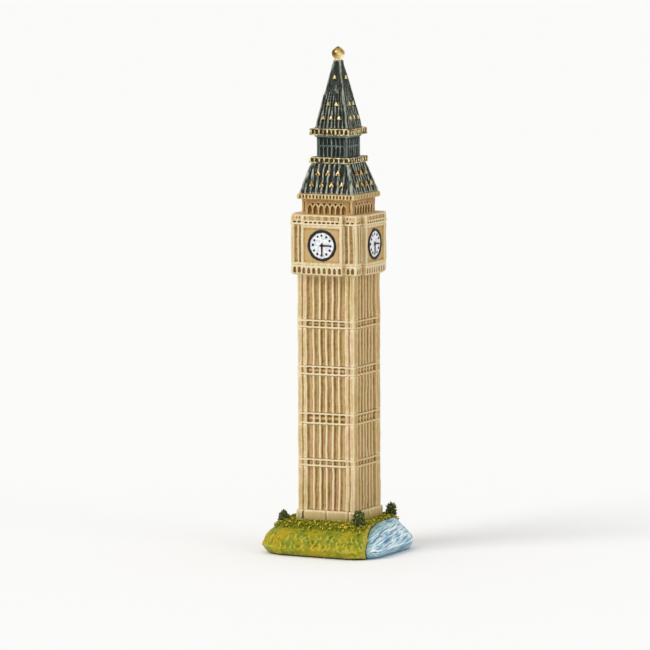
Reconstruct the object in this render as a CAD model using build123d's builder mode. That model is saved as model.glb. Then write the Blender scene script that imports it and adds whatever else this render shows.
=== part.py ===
"""Miniature clock tower on a grassy mound beside a river, a hand-painted table souvenir.

Millimetres. The origin is on the tower's axis at the resting plane, +Z is up and the front faces -Y.
The tower is a stack of square blocks, each seated on the one below, on a plinth let into the mound.
"""

import math
import os

from build123d import *

# Shaft: five ribbed tiers, parted by four string courses, counted from the ground up.
shaft_width = 12.3
tier_heights = (8.7, 6.9, 7.5, 7.5, 8.9)
course_heights = (1.5, 2.2, 1.8, 1.6)
pier_width = 2.0
pier_groove_width = 0.4
pier_groove_depth = 0.3
pier_groove_inset = 1.1
panel_depth = 0.6
rib_count = 5
rib_width = 0.45
rib_setback = 0.1
course_moulding_height = 0.3
course_moulding_overhang = 0.1
course_pier_overhang = 0.03
course_boss_size = 0.45
course_boss_height = 0.2

# Plinth: masonry slabs round the foot of the shaft.
plinth_step = 0.35
plinth_height = 2.0
plinth_joint_width = 0.35
plinth_joint_depth = 0.3
plinth_corner_block = 1.6
plinth_long_slab = 4.9
pocket_depth = 1.5
pocket_clearance = 0.05

# Clock stage: a square block with one projecting dial bay on each face.
clock_overhang = 0.95
corbel_height = 2.0
corbel_chamfer = 0.35
corbel_niche_count = 8
corbel_niche_width = 0.68
corbel_niche_height = 1.3
flank_niche_spacing = 1.0
niche_depth = 0.5
clock_body_height = 7.9
bay_width = 8.8
bay_projection = 1.0
bay_frame_width = 0.55
bay_panel_depth = 0.3
corner_bar_width = 0.8
flank_panel_depth = 0.4
flank_mullion_width = 0.35
flank_margin = 0.15
flank_sill_height = 0.5
flank_dimple_radius = 0.17
flank_dimple_depth = 0.2
flank_dimple_spacing = 2.4
parapet_height = 2.0
parapet_moulding_height = 0.35
parapet_moulding_overhang = 0.12
parapet_panel_width = 7.7
parapet_panel_height = 0.85
parapet_panel_depth = 0.3
parapet_roundel_count = 5
parapet_roundel_radius = 0.34
parapet_roundel_height = 0.14
parapet_slot_width = 0.28
parapet_slot_height = 0.6
parapet_slot_spacing = 0.6
parapet_dash_count = 8
parapet_dash_width = 0.72
parapet_dash_height = 0.34
parapet_dash_depth = 0.5
parapet_frieze_lift = 0.02
parapet_edge_chamfer = 0.2

# Dials, one for each bay.
dial_radius = 3.0
dial_thickness = 0.2
dial_ring_width = 0.42
dial_ring_height = 0.14
hour_mark_count = 12
hour_mark_radius = 0.17
hour_mark_circle = 1.95
hour_mark_height = 0.06
hand_thickness = 0.08
hand_width = 0.3
hub_radius = 0.3
hour_hand_length = 1.55
minute_hand_length = 1.9
hand_tail_length = 0.45
hand_point_length = 0.7

# Belfry: an arcade under a traceried frieze.
belfry_setback = 1.65
belfry_height = 2.9
belfry_corner_pier = 1.15
belfry_arch_count = 7
belfry_column_width = 0.32
belfry_arch_height = 1.8
belfry_recess_depth = 0.5
belfry_groove_width = 0.24
belfry_groove_height = 2.1
belfry_groove_depth = 0.25
tracery_hole_width = 0.8
tracery_hole_height = 0.7
tracery_gap = 0.15

# Eaves cornice.
eaves_overhang = 0.8
eaves_height = 1.1
eaves_round = 0.35
dentil_count = 16
dentil_slot_width = 0.36
dentil_slot_depth = 0.38

# Lower roof: a steep ribbed frustum.
roof_inset = 0.6
roof_height = 5.9
roof_top_width = 7.5
roof_rib_count = 9
roof_rib_width = 0.4
roof_rib_height = 0.26
roof_hip_radius = 0.38
roof_gablet_rows = ((4, 1.6), (3, 3.95))
roof_gablet_spacing = 2.15
roof_gablet_leg = 0.3
gablet_width = 0.86
gablet_height = 0.85
gablet_projection = 0.62
gablet_leg_width = 0.24

# Galleries, which are pierced parapets round the foot of the lantern and of the spire.
gallery_moulding_height = 0.24
gallery_opening_depth = 0.34
gallery_post_width = 0.36
lower_gallery_overhang = 0.65
lower_gallery_height = 1.2
lower_gallery_openings = 8
upper_gallery_overhang = 0.8
upper_gallery_height = 1.35
upper_gallery_openings = 9

# Lantern: a small arcaded storey between the two roofs.
lantern_setback = 1.2
lantern_height = 4.3
lantern_cap_height = 0.4
lantern_cap_overhang = 0.25
lantern_corner_post = 0.55
lantern_arch_count = 6
lantern_column_width = 0.27
lantern_arch_height = 2.15
lantern_slot_height = 1.35
lantern_slot_gap = 0.18
lantern_recess_depth = 0.32

# Spire and finial.
spire_inset = 0.9
spire_height = 13.3
spire_top_width = 0.95
spire_rib_count = 7
spire_rib_foot_width = 0.34
spire_rib_tip_width = 0.06
spire_rib_height = 0.24
spire_hip_radius = 0.28
spire_gablet_rows = ((3, 1.7), (2, 4.45), (1, 9.75))
spire_gablet_spacing = 1.72
spire_gablet_leg = 0.0
spire_collar_height = 0.35
spire_collar_overhang = 0.33
finial_radius = 1.24
finial_height = 2.75
finial_belly_height = 1.15
finial_neck_radius = 0.62
finial_neck_height = 2.2
finial_foot_radius = 0.8
finial_foot_height = 0.25

# Mound: its margins are measured outwards from the plinth's faces.
mound_height = 6.7
mound_crown_drop = 1.3
mound_foot_inset = 1.3
mound_toe_height = 0.7
mound_toe_inset = 0.45
mound_rim_height = 1.8
mound_corner_radius = 6.8
mound_margin_left = 7.1
mound_margin_right = 6.8
mound_margin_front = 6.8
mound_margin_back = 6.3
mound_front_left_skew = 1.7
mound_shoulder_inset = 2.5
mound_waist_inset = 0.75
mound_crown_margin = 1.2

# River: it runs from front to back along the right-hand side, below a curved bank.
river_bank_height = 0.45
river_gap_front = 5.2
river_gap_middle = 2.3
river_gap_back = 2.4

# Shrubs, one off each corner of the plinth: (x sign, y sign, gap along x, gap along y, radius, height).
shrubs = {
    "shrub_front_right": (1, -1, 1.4, 1.5, 1.6, 3.6),
    "shrub_front_left": (-1, -1, 2.5, 0.3, 1.25, 2.5),
    "shrub_back_right": (1, 1, 1.1, 1.4, 1.2, 3.1),
    "shrub_back_left": (-1, 1, 1.4, 1.3, 1.4, 3.2),
}
shrub_sink = 1.2
shrub_foot_taper = 0.8

# Widths that follow from the ones above.
core_width = shaft_width - 2 * panel_depth
panel_width = shaft_width - 2 * pier_width
rib_pitch = panel_width / (rib_count + 1)
plinth_width = shaft_width + 2 * plinth_step
clock_width = shaft_width + 2 * clock_overhang
flank_width = (clock_width - bay_width) / 2
belfry_width = clock_width - 2 * belfry_setback
eaves_width = belfry_width + 2 * eaves_overhang
roof_foot_width = eaves_width - 2 * roof_inset
lower_gallery_width = roof_top_width + 2 * lower_gallery_overhang
lantern_width = lower_gallery_width - 2 * lantern_setback
lantern_cap_width = lantern_width + 2 * lantern_cap_overhang
upper_gallery_width = lantern_cap_width + 2 * upper_gallery_overhang
spire_foot_width = upper_gallery_width - 2 * spire_inset
dial_ring_inner_radius = dial_radius - dial_ring_width

# Heights, each piece on top of the one below.
plinth_bottom = mound_height - pocket_depth
shaft_bottom = mound_height + plinth_height
clock_bottom = shaft_bottom + sum(tier_heights) + sum(course_heights)
clock_body_bottom = clock_bottom + corbel_height
clock_centre = clock_body_bottom + clock_body_height / 2
parapet_bottom = clock_body_bottom + clock_body_height
belfry_bottom = parapet_bottom + parapet_height
eaves_bottom = belfry_bottom + belfry_height
roof_bottom = eaves_bottom + eaves_height
lower_gallery_bottom = roof_bottom + roof_height
lantern_bottom = lower_gallery_bottom + lower_gallery_height
upper_gallery_bottom = lantern_bottom + lantern_height
spire_bottom = upper_gallery_bottom + upper_gallery_height
finial_bottom = spire_bottom + spire_height

SIDES = {"front": (0, -1), "right": (1, 0), "back": (0, 1), "left": (-1, 0)}
OVERSHOOT = 1.0  # how far a cutting shape runs past what it cuts
LANCET_SWEEP = 1.25  # radius of a lancet's arcs in widths, which makes them meet the jambs smoothly


def face_plane(side, half_width, z):
    """The upright plane of one face, seen from outside: x to the right, y up, z outwards."""
    nx, ny = SIDES[side]
    origin = (nx * half_width, ny * half_width, z)
    return Plane(origin=origin, x_dir=(-ny, nx, 0), z_dir=(nx, ny, 0))


def sloped_plane(side, foot_width, top_width, height, z):
    """The plane of one face of a square frustum, with its y axis up the slope from the foot."""
    nx, ny = SIDES[side]
    lean = (foot_width - top_width) / 2
    origin = (nx * foot_width / 2, ny * foot_width / 2, z)
    return Plane(origin=origin, x_dir=(-ny, nx, 0), z_dir=(nx * height, ny * height, lean))


def slope_length(foot_width, top_width, height):
    """The length up the middle of a frustum's face."""
    return math.hypot(height, (foot_width - top_width) / 2)


def write_piece(piece, name):
    """Labels a finished piece and writes it as one file."""
    piece.label = name
    export_step(piece, f"parts/{name}.step")


def lancet(width, height):
    """Adds a pointed arch standing on the sketch's local origin."""
    with BuildSketch(mode=Mode.PRIVATE) as arch:
        with BuildLine():
            spring = height - width
            foot_left = (-width / 2, 0)
            foot_right = (width / 2, 0)
            spring_left = (-width / 2, spring)
            spring_right = (width / 2, spring)
            apex = (0, height)
            Polyline(spring_left, foot_left, foot_right, spring_right)
            RadiusArc(spring_right, apex, -LANCET_SWEEP * width)
            RadiusArc(apex, spring_left, -LANCET_SWEEP * width)
        make_face()
    add(arch.sketch)


def draw_shaft_plan():
    """The plan of the shaft: a core with grooved corner piers, and ribs on each panel."""
    rib_reach = shaft_width / 2 - rib_setback
    rib_depth = rib_reach - core_width / 2 + panel_depth
    rib_middle = rib_reach - rib_depth / 2
    groove_place = shaft_width / 2 - pier_groove_inset
    Rectangle(core_width, core_width)
    with GridLocations(shaft_width - pier_width, shaft_width - pier_width, 2, 2):
        Rectangle(pier_width, pier_width)
    with GridLocations(rib_pitch, 2 * rib_middle, rib_count, 2):
        Rectangle(rib_width, rib_depth)
    with GridLocations(2 * rib_middle, rib_pitch, 2, rib_count):
        Rectangle(rib_depth, rib_width)
    with GridLocations(2 * groove_place, shaft_width, 2, 2):
        Rectangle(pier_groove_width, 2 * pier_groove_depth, mode=Mode.SUBTRACT)
    with GridLocations(shaft_width, 2 * groove_place, 2, 2):
        Rectangle(2 * pier_groove_depth, pier_groove_width, mode=Mode.SUBTRACT)


def draw_clock_plan(overhang=0.0):
    """The plan of the clock stage: a square with a projecting bay on each face."""
    bay_reach = clock_width + 2 * bay_projection + 2 * overhang
    Rectangle(clock_width + 2 * overhang, clock_width + 2 * overhang)
    Rectangle(bay_width + 2 * overhang, bay_reach)
    Rectangle(bay_reach, bay_width + 2 * overhang)


def make_plinth():
    """The foot of the tower, with joints cut between its slabs."""
    half = plinth_width / 2
    inner = half - plinth_corner_block
    joints = (-inner, -inner + plinth_long_slab, inner)
    with BuildPart() as plinth:
        with BuildSketch(Plane.XY.offset(plinth_bottom)):
            Rectangle(plinth_width, plinth_width)
        extrude(amount=pocket_depth + plinth_height)
        for side in SIDES:
            with BuildSketch(face_plane(side, half, mound_height)):
                with Locations(*[(x, plinth_height / 2) for x in joints]):
                    Rectangle(plinth_joint_width, plinth_height)
            extrude(amount=-plinth_joint_depth, mode=Mode.SUBTRACT)
    return plinth.part


def make_tier(bottom, height):
    """One ribbed length of the shaft."""
    with BuildPart() as tier:
        with BuildSketch(Plane.XY.offset(bottom)):
            draw_shaft_plan()
        extrude(amount=height)
    return tier.part


def make_course(bottom, height):
    """A string course: two mouldings with a bossed band between them."""
    moulding_reach = shaft_width + 2 * course_moulding_overhang
    pier_reach = shaft_width + 2 * course_pier_overhang
    moulding_span = shaft_width - 2 * (pier_groove_inset + pier_groove_width / 2)
    with BuildPart() as course:
        with BuildSketch(Plane.XY.offset(bottom)):
            draw_shaft_plan()
        extrude(amount=height)
        for z in (bottom, bottom + height - course_moulding_height):
            with BuildSketch(Plane.XY.offset(z)):
                Rectangle(pier_reach, pier_reach)
                Rectangle(moulding_reach, moulding_span)
                Rectangle(moulding_span, moulding_reach)
            extrude(amount=course_moulding_height)
        for side in SIDES:
            with BuildSketch(face_plane(side, core_width / 2, bottom + height / 2)):
                with GridLocations(rib_pitch, 0, rib_count + 1, 1):
                    Rectangle(course_boss_size, course_boss_size)
            extrude(amount=course_boss_height)
    return course.part


def make_corbel_course():
    """The corbelled foot of the clock stage, with a row of niches."""
    niche_pitch = bay_width / corbel_niche_count
    niche_foot = clock_bottom + (corbel_height - corbel_niche_height) / 2
    flank_middle = (bay_width + flank_width) / 2
    flank_places = [
        side * flank_middle + step * flank_niche_spacing / 2 for side in (-1, 1) for step in (-1, 1)
    ]
    with BuildPart() as course:
        with BuildSketch(Plane.XY.offset(clock_bottom)):
            draw_clock_plan()
        extrude(amount=corbel_height)
        chamfer(course.edges().group_by(Axis.Z)[0], corbel_chamfer)
        for side in SIDES:
            with BuildSketch(face_plane(side, clock_width / 2 + bay_projection, niche_foot)):
                with GridLocations(niche_pitch, 0, corbel_niche_count, 1):
                    lancet(corbel_niche_width, corbel_niche_height)
            extrude(amount=-niche_depth, mode=Mode.SUBTRACT)
            with BuildSketch(face_plane(side, clock_width / 2, niche_foot)):
                with Locations(*[(x, 0) for x in flank_places]):
                    lancet(corbel_niche_width, corbel_niche_height)
            extrude(amount=-niche_depth, mode=Mode.SUBTRACT)
    return course.part


def make_clock_body():
    """The body of the clock stage, with two mullioned panels beside each dial bay."""
    half = clock_width / 2
    panel_span = flank_width - corner_bar_width - flank_margin
    light_width = (panel_span - flank_mullion_width) / 2
    panel_middle = bay_width / 2 + flank_margin + panel_span / 2
    light_offset = (light_width + flank_mullion_width) / 2
    lights = [side * panel_middle + step * light_offset for side in (-1, 1) for step in (-1, 1)]
    light_height = clock_body_height - flank_sill_height
    dimple_z = flank_sill_height + light_height / 2
    with BuildPart() as body:
        with BuildSketch(Plane.XY.offset(clock_body_bottom)):
            Rectangle(clock_width, clock_width)
        extrude(amount=clock_body_height)
        for side in SIDES:
            with BuildSketch(face_plane(side, half, clock_body_bottom + flank_sill_height)):
                with Locations(*[(x, light_height / 2) for x in lights]):
                    Rectangle(light_width, light_height)
            extrude(amount=-flank_panel_depth, mode=Mode.SUBTRACT)
            with BuildSketch(face_plane(side, half - flank_panel_depth, clock_body_bottom)):
                for step in (-1, 1):
                    z = dimple_z + step * flank_dimple_spacing / 2
                    with Locations(*[(x, z) for x in lights]):
                        Circle(flank_dimple_radius)
            extrude(amount=-flank_dimple_depth, mode=Mode.SUBTRACT)
    return body.part


def make_dial_bay(side):
    """A projecting bay: a frame round a sunk panel, with a round seat for the dial."""
    half = clock_width / 2
    panel_height = clock_body_height - 2 * bay_frame_width
    with BuildPart() as bay:
        with BuildSketch(face_plane(side, half, clock_centre)):
            Rectangle(bay_width, clock_body_height)
        extrude(amount=bay_projection)
        with BuildSketch(face_plane(side, half + bay_projection, clock_centre)):
            Rectangle(bay_width - 2 * bay_frame_width, panel_height)
        extrude(amount=-bay_panel_depth, mode=Mode.SUBTRACT)
        with BuildSketch(dial_plane(side, -dial_thickness)):
            Circle(dial_radius)
        extrude(amount=dial_thickness + bay_panel_depth, mode=Mode.SUBTRACT)
    return bay.part


def dial_plane(side, lift):
    """A plane parallel to the dial's face, that far in front of it."""
    return face_plane(side, clock_width / 2 + bay_projection - bay_panel_depth + lift, clock_centre)


def make_dial(side):
    """The white disc, flush with the bay's panel."""
    with BuildPart() as dial:
        with BuildSketch(dial_plane(side, -dial_thickness)):
            Circle(dial_radius)
        extrude(amount=dial_thickness)
    return dial.part


def make_dial_ring(side):
    """The raised dark ring round the dial."""
    with BuildPart() as ring:
        with BuildSketch(dial_plane(side, 0)):
            Circle(dial_radius)
            Circle(dial_ring_inner_radius, mode=Mode.SUBTRACT)
        extrude(amount=dial_ring_height)
    return ring.part


def make_hour_marks(side):
    """Twelve raised dots."""
    with BuildPart() as marks:
        with BuildSketch(dial_plane(side, 0)):
            with PolarLocations(hour_mark_circle, hour_mark_count):
                Circle(hour_mark_radius)
        extrude(amount=hour_mark_height)
    return marks.part


def make_hand(side, lift, length, turn):
    """A tapered hand with a hub and a short tail. At turn 0 it points straight up."""
    with BuildPart() as hand:
        with BuildSketch(dial_plane(side, lift)):
            with Locations(Rotation(0, 0, turn)):
                Polygon(
                    (-hand_width / 2, -hand_tail_length),
                    (hand_width / 2, -hand_tail_length),
                    (hand_width / 2, length - hand_point_length),
                    (0, length),
                    (-hand_width / 2, length - hand_point_length),
                    align=None,
                )
            Circle(hub_radius)
        extrude(amount=hand_thickness)
    return hand.part


def make_parapet():
    """The top of the clock stage: a moulding, a sunk frieze of roundels and slotted flanks."""
    dash_middle = parapet_bottom + parapet_moulding_height + parapet_dash_height / 2
    frieze_height = parapet_height - parapet_moulding_height - parapet_dash_height
    frieze_middle = dash_middle + (parapet_dash_height + frieze_height) / 2 + parapet_frieze_lift / 2
    roundel_pitch = parapet_panel_width / parapet_roundel_count
    dash_pitch = parapet_panel_width / parapet_dash_count
    flank_middle = (bay_width + flank_width) / 2
    slots = [
        side * flank_middle + step * parapet_slot_spacing for side in (-1, 1) for step in (-1, 0, 1)
    ]
    with BuildPart() as parapet:
        with BuildSketch(Plane.XY.offset(parapet_bottom)):
            draw_clock_plan()
        extrude(amount=parapet_height)
        chamfer(parapet.edges().group_by(Axis.Z)[-1], parapet_edge_chamfer)
        with BuildSketch(Plane.XY.offset(parapet_bottom)):
            draw_clock_plan(parapet_moulding_overhang)
        extrude(amount=parapet_moulding_height)
        for side in SIDES:
            with BuildSketch(face_plane(side, clock_width / 2 + bay_projection, frieze_middle)):
                Rectangle(parapet_panel_width, parapet_panel_height)
            extrude(amount=-parapet_panel_depth, mode=Mode.SUBTRACT)
            sunk_face = clock_width / 2 + bay_projection - parapet_panel_depth
            with BuildSketch(face_plane(side, sunk_face, frieze_middle)):
                with GridLocations(roundel_pitch, 0, parapet_roundel_count, 1):
                    Circle(parapet_roundel_radius)
            extrude(amount=parapet_roundel_height)
            with BuildSketch(face_plane(side, clock_width / 2, frieze_middle)):
                with Locations(*[(x, 0) for x in slots]):
                    Rectangle(parapet_slot_width, parapet_slot_height)
            extrude(amount=-parapet_panel_depth, mode=Mode.SUBTRACT)
            with BuildSketch(face_plane(side, clock_width / 2 + bay_projection, dash_middle)):
                with GridLocations(dash_pitch, 0, parapet_dash_count, 1):
                    Rectangle(parapet_dash_width, parapet_dash_height)
            extrude(amount=-parapet_dash_depth, mode=Mode.SUBTRACT)
            with BuildSketch(face_plane(side, clock_width / 2, dash_middle)):
                with Locations((-flank_middle, 0), (flank_middle, 0)):
                    with GridLocations(dash_pitch, 0, 2, 1):
                        Rectangle(parapet_dash_width, parapet_dash_height)
            extrude(amount=-parapet_dash_depth, mode=Mode.SUBTRACT)
    return parapet.part


def make_belfry():
    """The belfry: a pointed arcade under triangular tracery holes, between grooved corner piers."""
    half = belfry_width / 2
    pitch = (belfry_width - 2 * belfry_corner_pier) / belfry_arch_count
    arch_width = pitch - belfry_column_width
    hole_foot = belfry_arch_height - arch_width / 2 + tracery_gap
    hole_top = hole_foot + tracery_hole_height
    with BuildPart() as belfry:
        with BuildSketch(Plane.XY.offset(belfry_bottom)):
            Rectangle(belfry_width, belfry_width)
        extrude(amount=belfry_height)
        for side in SIDES:
            with BuildSketch(face_plane(side, half, belfry_bottom)):
                with GridLocations(pitch, 0, belfry_arch_count, 1):
                    lancet(arch_width, belfry_arch_height)
                with GridLocations(pitch, 0, belfry_arch_count - 1, 1):
                    Polygon(
                        (0, hole_foot),
                        (tracery_hole_width / 2, hole_top),
                        (-tracery_hole_width / 2, hole_top),
                        align=None,
                    )
            extrude(amount=-belfry_recess_depth, mode=Mode.SUBTRACT)
            with BuildSketch(face_plane(side, half, belfry_bottom + belfry_height / 2)):
                with GridLocations(belfry_width - belfry_corner_pier, 0, 2, 1):
                    Rectangle(belfry_groove_width, belfry_groove_height)
            extrude(amount=-belfry_groove_depth, mode=Mode.SUBTRACT)
    return belfry.part


def make_eaves():
    """The rounded eaves cornice, cut into dentils."""
    dentil_pitch = eaves_width / (dentil_count + 1)
    with BuildPart() as eaves:
        with BuildSketch(Plane.XY.offset(eaves_bottom)):
            Rectangle(eaves_width, eaves_width)
        extrude(amount=eaves_height)
        ends = eaves.edges().group_by(Axis.Z)
        fillet(ends[0] + ends[-1], eaves_round)
        for side in SIDES:
            with BuildSketch(face_plane(side, eaves_width / 2, eaves_bottom + eaves_height / 2)):
                with GridLocations(dentil_pitch, 0, dentil_count, 1):
                    SlotOverall(eaves_height - eaves_round, dentil_slot_width, rotation=90)
            extrude(amount=-dentil_slot_depth, mode=Mode.SUBTRACT)
    return eaves.part


def add_hips(foot_width, top_width, height, bottom, radius):
    """Adds a round roll along each hip of a square frustum."""
    foot = foot_width / 2
    top = top_width / 2
    for x, y in ((1, -1), (1, 1), (-1, 1), (-1, -1)):
        start = Vector(x * foot, y * foot, bottom)
        end = Vector(x * top, y * top, bottom + height)
        along = end - start
        section_plane = Plane(origin=start - along.normalized() * OVERSHOOT, z_dir=along)
        with BuildSketch(section_plane) as section:
            Circle(radius)
        extrude(section.sketch, amount=along.length + 2 * OVERSHOOT)


def keep_between(low, high, reach):
    """Cuts the part off flat at two heights."""
    with BuildSketch(Plane.XY.offset(low)) as section:
        Rectangle(reach, reach)
    extrude(section.sketch, amount=high - low, mode=Mode.INTERSECT)


def make_lower_roof():
    """The ribbed lower roof, with rolls along its hips."""
    length = slope_length(roof_foot_width, roof_top_width, roof_height)
    pitch = roof_foot_width / (roof_rib_count + 1)
    with BuildPart() as roof:
        with BuildSketch(Plane.XY.offset(roof_bottom)):
            Rectangle(roof_foot_width, roof_foot_width)
        with BuildSketch(Plane.XY.offset(roof_bottom + roof_height)):
            Rectangle(roof_top_width, roof_top_width)
        loft()
        for side in SIDES:
            with BuildSketch(sloped_plane(side, roof_foot_width, roof_top_width, roof_height, roof_bottom)):
                with Locations((0, length / 2)):
                    with GridLocations(pitch, 0, roof_rib_count, 1):
                        Rectangle(roof_rib_width, length)
                Polygon(
                    (-roof_foot_width / 2, 0),
                    (roof_foot_width / 2, 0),
                    (roof_top_width / 2, length),
                    (-roof_top_width / 2, length),
                    align=None,
                    mode=Mode.INTERSECT,
                )
            extrude(amount=roof_rib_height)
        add_hips(roof_foot_width, roof_top_width, roof_height, roof_bottom, roof_hip_radius)
        keep_between(roof_bottom, roof_bottom + roof_height, 2 * roof_foot_width)
    return roof.part


def make_gablets(roof_part, foot_width, top_width, height, bottom, rows, spacing, leg):
    """Gablets on the slopes of a roof, in rows of (count, distance up), each over a niche between legs."""
    with BuildPart() as gablets:
        for side in SIDES:
            with BuildSketch(sloped_plane(side, foot_width, top_width, height, bottom)):
                for count, distance in rows:
                    with Locations((0, distance)):
                        with GridLocations(spacing, 0, count, 1):
                            Polygon(
                                (-gablet_width / 2, 0),
                                (gablet_width / 2, 0),
                                (0, gablet_height),
                                align=None,
                            )
                            if leg > 0:
                                leg_reach = (gablet_width - gablet_leg_width) / 2
                                with Locations((-leg_reach, -leg / 2), (leg_reach, -leg / 2)):
                                    Rectangle(gablet_leg_width, leg)
            extrude(amount=gablet_projection)
        add(roof_part, mode=Mode.SUBTRACT)
    return gablets.part


def make_gallery(width, bottom, height, openings):
    """A square gallery: two mouldings, with a row of dark openings between slim posts."""
    opening_height = height - 2 * gallery_moulding_height
    pitch = (width - gallery_post_width) / openings
    with BuildPart() as gallery:
        with BuildSketch(Plane.XY.offset(bottom)):
            Rectangle(width, width)
        extrude(amount=height)
        for side in SIDES:
            with BuildSketch(face_plane(side, width / 2, bottom + height / 2)):
                with GridLocations(pitch, 0, openings, 1):
                    Rectangle(pitch - gallery_post_width, opening_height)
            extrude(amount=-gallery_opening_depth, mode=Mode.SUBTRACT)
    return gallery.part


def make_lantern():
    """The lantern: arches below, a row of slots above them and a projecting cap."""
    half = lantern_width / 2
    pitch = (lantern_width - 2 * lantern_corner_post) / lantern_arch_count
    opening = pitch - lantern_column_width
    slot_middle = lantern_arch_height + lantern_slot_gap + lantern_slot_height / 2
    cap_bottom = lantern_bottom + lantern_height - lantern_cap_height
    with BuildPart() as lantern:
        with BuildSketch(Plane.XY.offset(lantern_bottom)):
            Rectangle(lantern_width, lantern_width)
        extrude(amount=lantern_height)
        with BuildSketch(Plane.XY.offset(cap_bottom)):
            Rectangle(lantern_cap_width, lantern_cap_width)
        extrude(amount=lantern_cap_height)
        for side in SIDES:
            with BuildSketch(face_plane(side, half, lantern_bottom)):
                with GridLocations(pitch, 0, lantern_arch_count, 1):
                    lancet(opening, lantern_arch_height)
                with Locations((0, slot_middle)):
                    with GridLocations(pitch, 0, lantern_arch_count, 1):
                        Rectangle(opening, lantern_slot_height)
            extrude(amount=-lantern_recess_depth, mode=Mode.SUBTRACT)
    return lantern.part


def make_spire():
    """The spire: ribs that draw together towards the top, hip rolls and a small collar."""
    length = slope_length(spire_foot_width, spire_top_width, spire_height)
    foot_pitch = spire_foot_width / (spire_rib_count + 1)
    tip_pitch = spire_top_width / (spire_rib_count + 1)
    collar_width = spire_top_width + 2 * spire_collar_overhang
    collar_bottom = finial_bottom - spire_collar_height
    with BuildPart() as spire:
        with BuildSketch(Plane.XY.offset(spire_bottom)):
            Rectangle(spire_foot_width, spire_foot_width)
        with BuildSketch(Plane.XY.offset(finial_bottom)):
            Rectangle(spire_top_width, spire_top_width)
        loft()
        for side in SIDES:
            with BuildSketch(
                sloped_plane(side, spire_foot_width, spire_top_width, spire_height, spire_bottom)
            ):
                for rib in range(spire_rib_count):
                    step = rib - (spire_rib_count - 1) / 2
                    Polygon(
                        (step * foot_pitch - spire_rib_foot_width / 2, 0),
                        (step * foot_pitch + spire_rib_foot_width / 2, 0),
                        (step * tip_pitch + spire_rib_tip_width / 2, length),
                        (step * tip_pitch - spire_rib_tip_width / 2, length),
                        align=None,
                    )
            extrude(amount=spire_rib_height)
        add_hips(spire_foot_width, spire_top_width, spire_height, spire_bottom, spire_hip_radius)
        with BuildSketch(Plane.XY.offset(collar_bottom)):
            Rectangle(collar_width, collar_width)
        extrude(amount=spire_collar_height)
        keep_between(spire_bottom, finial_bottom, 2 * spire_foot_width)
    return spire.part


def make_finial():
    """A pointed bud on a short foot."""
    with BuildPart() as finial:
        with BuildSketch(Plane.XZ):
            with BuildLine():
                waist = (finial_foot_radius, finial_bottom + finial_foot_height)
                tip = (0, finial_bottom + finial_height)
                neck = (finial_neck_radius, finial_bottom + finial_neck_height)
                belly = (finial_radius, finial_bottom + finial_belly_height)
                Polyline(tip, (0, finial_bottom), (finial_foot_radius, finial_bottom), waist)
                Spline(waist, belly, neck, tip, tangents=((1, 0.9), (-1, 0.75)))
            make_face()
        revolve(axis=Axis.Z)
    return finial.part


def draw_mound_outline(inset):
    """The mound's rounded plan, that far inside its rim."""
    half = plinth_width / 2
    left = -(half + mound_margin_left - inset)
    right = half + mound_margin_right - inset
    front = -(half + mound_margin_front - inset)
    back = half + mound_margin_back - inset
    with BuildLine() as outline:
        FilletPolyline(
            (left, front + mound_front_left_skew),
            (right, front),
            (right, back),
            (left, back),
            radius=mound_corner_radius - inset,
            close=True,
        )
    make_face(outline.line)


def loft_mound(inset, drop):
    """The mound's domed body, drawn in by inset and lowered by drop all over."""
    shoulder_height = mound_height - mound_crown_drop
    waist_height = (mound_rim_height + shoulder_height) / 2
    crown_inset = min(mound_margin_left, mound_margin_front - mound_front_left_skew) - mound_crown_margin
    sections = (
        (0, mound_foot_inset),
        (mound_toe_height, mound_toe_inset),
        (mound_rim_height, 0),
        (waist_height - drop, mound_waist_inset),
        (shoulder_height - drop, mound_shoulder_inset),
        (mound_height - drop, crown_inset),
    )
    outlines = []
    for height, section_inset in sections:
        with BuildSketch(Plane.XY.offset(height)) as section:
            draw_mound_outline(section_inset + inset)
        outlines.append(section.sketch)
    loft(outlines, ruled=True)


def draw_river_plan():
    """Everything to the right of the curved bank."""
    half = plinth_width / 2
    reach = half + mound_margin_right + OVERSHOOT
    front = -(half + mound_margin_front + OVERSHOOT)
    back = half + mound_margin_back + OVERSHOOT
    bank_front = (half + river_gap_front, front)
    bank_back = (half + river_gap_back, back)
    with BuildLine() as outline:
        ThreePointArc(bank_front, (half + river_gap_middle, 0), bank_back)
        Polyline(bank_back, (reach, back), (reach, front), bank_front)
    make_face(outline.line)


def make_mound():
    """The mound, with the river's side cut away and a pocket for the plinth."""
    pocket_width = plinth_width + 2 * pocket_clearance
    with BuildPart() as mound:
        loft_mound(0, 0)
        with BuildSketch():
            draw_river_plan()
        extrude(amount=mound_height, mode=Mode.SUBTRACT)
        with BuildSketch(Plane.XY.offset(plinth_bottom)):
            Rectangle(pocket_width, pocket_width)
        extrude(amount=pocket_depth, mode=Mode.SUBTRACT)
    return mound.part


def make_river():
    """The water, which follows the mound's side a little below its turf."""
    with BuildPart() as river:
        loft_mound(river_bank_height, river_bank_height)
        with BuildSketch():
            draw_river_plan()
        extrude(amount=mound_height, mode=Mode.INTERSECT)
    return river.part


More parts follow.
